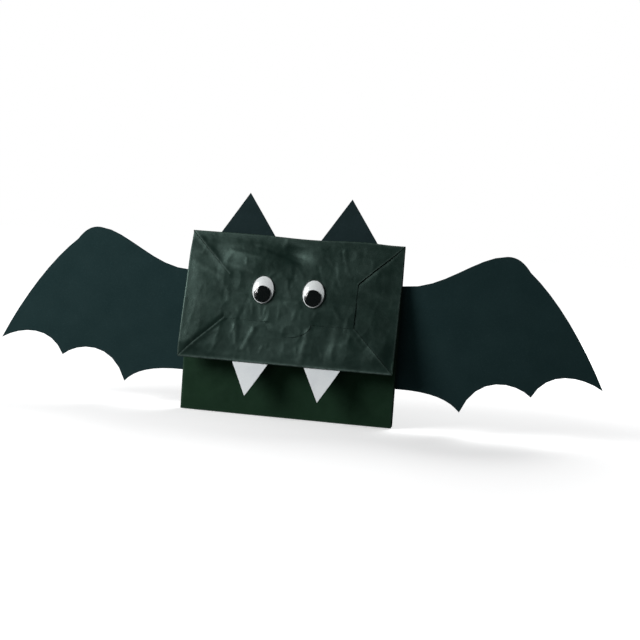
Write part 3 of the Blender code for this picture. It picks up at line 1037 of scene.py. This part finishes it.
def ear_shape(x, y):
    curl = EAR_CURL * np.maximum(y - BODY, 0) ** EAR_CURL_POWER
    return curl + EAR_WAVE[0] * wander(x, y, EAR_WAVE[1], 20), 0 * x


def fang_shape(x, y):
    curl = FANG_CURL * np.minimum(y, 0) ** 2
    return curl + FANG_WAVE[0] * wander(x, y, FANG_WAVE[1], 21), 0 * x


def make_ears_and_fangs():
    for side in ("left", "right"):
        node = f"{side}_ear"
        where = upright(node)
        ear = sheet(f"{side}_ear_paper", outline_of(node, where), where, ear_shape, CARD)
        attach(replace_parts(dress(ear, EAR_CARD), node), "root")
        node = f"{side}_fang"
        low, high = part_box(node)
        centre = Vector((0, (low.y + high.y) / 2, (low.z + high.z) / 2))
        where = Matrix.Translation(STRIP_OUT * (centre - LIP).dot(STRIP_OUT)) @ UNDERSIDE
        fang = sheet(f"{side}_fang_paper", outline_of(node, where), where, fang_shape, CARD)
        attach(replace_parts(dress(fang, FANG_CARD), node), "mouth")


# ---------------------------------------------------------------- eyes

ROUND_STEPS = 72
DOME_STEPS = 14

# The clear shell: how far it stands in the backing, the height of its rim, its wall and its bore, and the
# shares of its radius at the rounded foot
DOME_SINK = 0.22
DOME_RIM = 1.1
DOME_WALL = 0.5
DOME_BORE = 0.915
DOME_FOOT = ((1.0, 0.25), (0.985, 0.0), (0.93, 0.0), (DOME_BORE, 0.2))

# The white disc fits inside the shell and starts above the paper
DISC_SHARE = 0.93
DISC_FLOOR = 0.45


def turned(name, where, half_width, half_height, profile):
    """An oval turned shape. Its profile is (share of the radius, height) from middle to middle."""
    vertices, faces, rings = [], [], []
    for share, height in profile:
        count = 1 if share == 0 else ROUND_STEPS
        rings.append(range(len(vertices), len(vertices) + count))
        for i in range(count):
            angle = 2 * math.pi * i / ROUND_STEPS
            x, y = half_width * share * math.cos(angle), half_height * share * math.sin(angle)
            vertices.append(where @ (Vector((x, y, height)) * MM))
    for low, high in zip(rings, rings[1:]):
        for i in range(ROUND_STEPS):
            j = (i + 1) % ROUND_STEPS
            if len(low) == 1:
                faces.append((low[0], high[i], high[j]))
            elif len(high) == 1:
                faces.append((low[i], high[0], low[j]))
            else:
                faces.append((low[i], high[i], high[j], low[j]))
    obj = new_object(name, vertices, faces)
    work = bmesh.new()
    work.from_mesh(obj.data)
    bmesh.ops.recalc_face_normals(work, faces=work.faces)
    work.to_mesh(obj.data)
    work.free()
    return shade(obj, 50)


def local_box(node, where):
    """The corners of a CAD node along a plane's own axes, in millimetres."""
    into = where.inverted()
    spots = np.array([tuple(into @ v.co / MM) for v in frame["nodes"][node].data.vertices])
    return spots.min(axis=0), spots.max(axis=0)


def face_plane(x, y, height):
    """A plane parallel to the face through a point given in the face's millimetres."""
    return FACE @ Matrix.Translation(Vector((x, y, height)) * MM)


def dome_profile(full):
    """The outer side of a clear dome of that full height down to its rim, then the inner side back up."""
    dome = full - DOME_RIM
    quarter = np.linspace(0, math.pi / 2, DOME_STEPS)
    outer = [(math.sin(a), DOME_RIM + dome * math.cos(a)) for a in quarter]
    bore = [(DOME_BORE * math.sin(a), DOME_RIM + (dome - DOME_WALL) * math.cos(a)) for a in quarter]
    return [*outer, *DOME_FOOT, *reversed(bore)]


def disc_profile(thick):
    """A flat disc with rounded edges."""
    return [(0, 0), (0.97, 0), (1, 0.12), (1, thick - 0.15), (0.975, thick), (0, thick)]


def pupil_profile(thick):
    """A small disc with rounded edges and a slightly domed front."""
    side = [(0, 0), (0.95, 0), (1, 0.14), (1, thick - 0.2)]
    return [*side, (0.93, thick), (0.6, thick + 0.04), (0, thick + 0.06)]


def make_eyes():
    for side in ("left", "right"):
        node = f"{side}_eye_backing"
        low, high = local_box(node, FACE)
        middle = (low + high) / 2
        half_width, half_height = (high - low)[:2] / 2
        where = face_plane(middle[0], middle[1], DISC_FLOOR)
        profile = disc_profile(high[2] - DISC_FLOOR)
        disc = turned(f"{side}_eye_disc", where, half_width * DISC_SHARE, half_height * DISC_SHARE, profile)
        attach(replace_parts(dress(disc, EYE_WHITE), node), "head")

        node = f"{side}_eye_lens"
        low, high = local_box(node, FACE)
        base = low[2] - DOME_SINK
        where = face_plane(middle[0], middle[1], base)
        dome = turned(f"{side}_eye_dome", where, half_width, half_height, dome_profile(high[2] - base))
        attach(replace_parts(dress(dome, EYE_CLEAR), node), "head")

        node = f"{side}_pupil"
        low, high = local_box(node, FACE)
        middle = (low + high) / 2
        radius = (high[0] - low[0]) / 2
        where = face_plane(middle[0], middle[1], low[2])
        pupil = turned(f"{node}_disc", where, radius, radius, pupil_profile(high[2] - low[2]))
        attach(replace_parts(dress(pupil, PUPIL_BLACK), node), node)


# ---------------------------------------------------------------- stage, light and camera

# The floor, in metres, and its glow near the puppet and far from it
FLOOR_RADIUS = 6
FLOOR_SIDES = 96
FLOOR_DROP = 0.0004
FLOOR_GREY = 0.82
FLOOR_GLOW = (0.40, 1.0)
FLOOR_GLOW_AT = (0.2, 0.9)

WORLD_COLOUR = (0.94, 0.97, 1, 1)
WORLD_LIGHT = 0.08
WHITE = (1, 1, 1, 1)

# Azimuth and elevation in degrees, distance and diameter in metres, power in watts, and whether it shines
LIGHTS = {
    "key": (-47, 25, 0.75, 0.40, 5.2, True),
    "fill": (-12, -4, 1.2, 0.8, 2.0, False),
    "rear": (158, 38, 0.9, 0.6, 6.0, True),
}
LIGHT_TARGET = Vector((0, 0, 0.06))

# The camera's place round the puppet, in degrees and metres, and its lens in millimetres
CAMERA_AZIMUTH = 9.94
CAMERA_ELEVATION = 4.32
CAMERA_ROLL = 4.09
CAMERA_TARGET = Vector((0.0174, 0, 0.0613))
CAMERA_DISTANCE = 0.7584
CAMERA_LENS = 70.4
CAMERA_SENSOR = 36
CAMERA_CLIP = 0.05


def direction(azimuth, elevation):
    """The direction from the puppet towards a place round it, from angles in degrees."""
    a, e = math.radians(azimuth), math.radians(elevation)
    return Vector((math.sin(a) * math.cos(e), -math.cos(a) * math.cos(e), math.sin(e)))


def make_floor():
    """A pale floor that melts into the white surround away from the puppet."""
    bpy.ops.mesh.primitive_circle_add(
        vertices=FLOOR_SIDES,
        radius=FLOOR_RADIUS,
        fill_type="NGON",
        location=(0, 0, -FLOOR_DROP),
    )
    floor = bpy.context.object
    floor.name = "floor"
    n = Nodes("floor_white")
    n.shader.inputs["Base Color"].default_value = (FLOOR_GREY, FLOOR_GREY, FLOOR_GREY, 1)
    n.shader.inputs["Roughness"].default_value = 0.9
    n.shader.inputs["Specular IOR Level"].default_value = 0
    n.shader.inputs["Emission Color"].default_value = WHITE
    distance = n.add("ShaderNodeVectorMath", operation="LENGTH")
    n.link(n.coordinates, distance.inputs[0])
    glow = n.range(distance.outputs["Value"], *FLOOR_GLOW_AT, *FLOOR_GLOW)
    n.link(glow, n.shader.inputs["Emission Strength"])
    floor.data.materials.append(n.material)
    floor.visible_diffuse = False
    floor.visible_glossy = False


def make_world():
    """A surround that looks white to the camera and lights the puppet only faintly."""
    world = bpy.data.worlds.new("studio")
    bpy.context.scene.world = world
    world.use_nodes = True
    tree = world.node_tree
    seen = tree.nodes["Background"]
    seen.inputs["Color"].default_value = WHITE
    lit = tree.nodes.new("ShaderNodeBackground")
    lit.inputs["Color"].default_value = WORLD_COLOUR
    lit.inputs["Strength"].default_value = WORLD_LIGHT
    path = tree.nodes.new("ShaderNodeLightPath")
    mix = tree.nodes.new("ShaderNodeMixShader")
    tree.links.new(path.outputs["Is Camera Ray"], mix.inputs["Fac"])
    tree.links.new(lit.outputs["Background"], mix.inputs[1])
    tree.links.new(seen.outputs["Background"], mix.inputs[2])
    tree.links.new(mix.outputs["Shader"], tree.nodes["World Output"].inputs["Surface"])


def area_light(name, azimuth, elevation, distance, size, power, shine):
    """A round area light aimed at the puppet. Without shine it is hidden from glossy rays."""
    away = direction(azimuth, elevation)
    data = bpy.data.lights.new(name, "AREA")
    data.shape = "DISK"
    data.size = size
    data.energy = power
    light = bpy.data.objects.new(name, data)
    bpy.context.scene.collection.objects.link(light)
    light.location = LIGHT_TARGET + away * distance
    light.visible_glossy = shine
    light.rotation_mode = "QUATERNION"
    light.rotation_quaternion = (-away).to_track_quat("-Z", "Y")


def make_camera():
    """A long lens a little to the right of and above the puppet, rolled as it was held."""
    back = direction(CAMERA_AZIMUTH, CAMERA_ELEVATION)
    level_right = (-back).cross(Z_AXIS).normalized()
    level_up = level_right.cross(-back)
    c, s = math.cos(math.radians(CAMERA_ROLL)), math.sin(math.radians(CAMERA_ROLL))
    right = c * level_right + s * level_up
    up = c * level_up - s * level_right
    data = bpy.data.cameras.new("camera")
    data.sensor_width = CAMERA_SENSOR
    data.lens = CAMERA_LENS
    data.clip_start = CAMERA_CLIP
    camera = bpy.data.objects.new("camera", data)
    bpy.context.scene.collection.objects.link(camera)
    turn = Matrix((right, up, back)).transposed().to_4x4()
    camera.matrix_world = Matrix.Translation(CAMERA_TARGET + back * CAMERA_DISTANCE) @ turn
    bpy.context.scene.camera = camera


bpy.context.scene.view_settings.view_transform = "Standard"
make_camera()
make_face()
make_panels()
make_webs()
make_wings()
make_ears_and_fangs()
make_eyes()
make_floor()
make_world()
for name, values in LIGHTS.items():
    area_light(name, *values)

import json
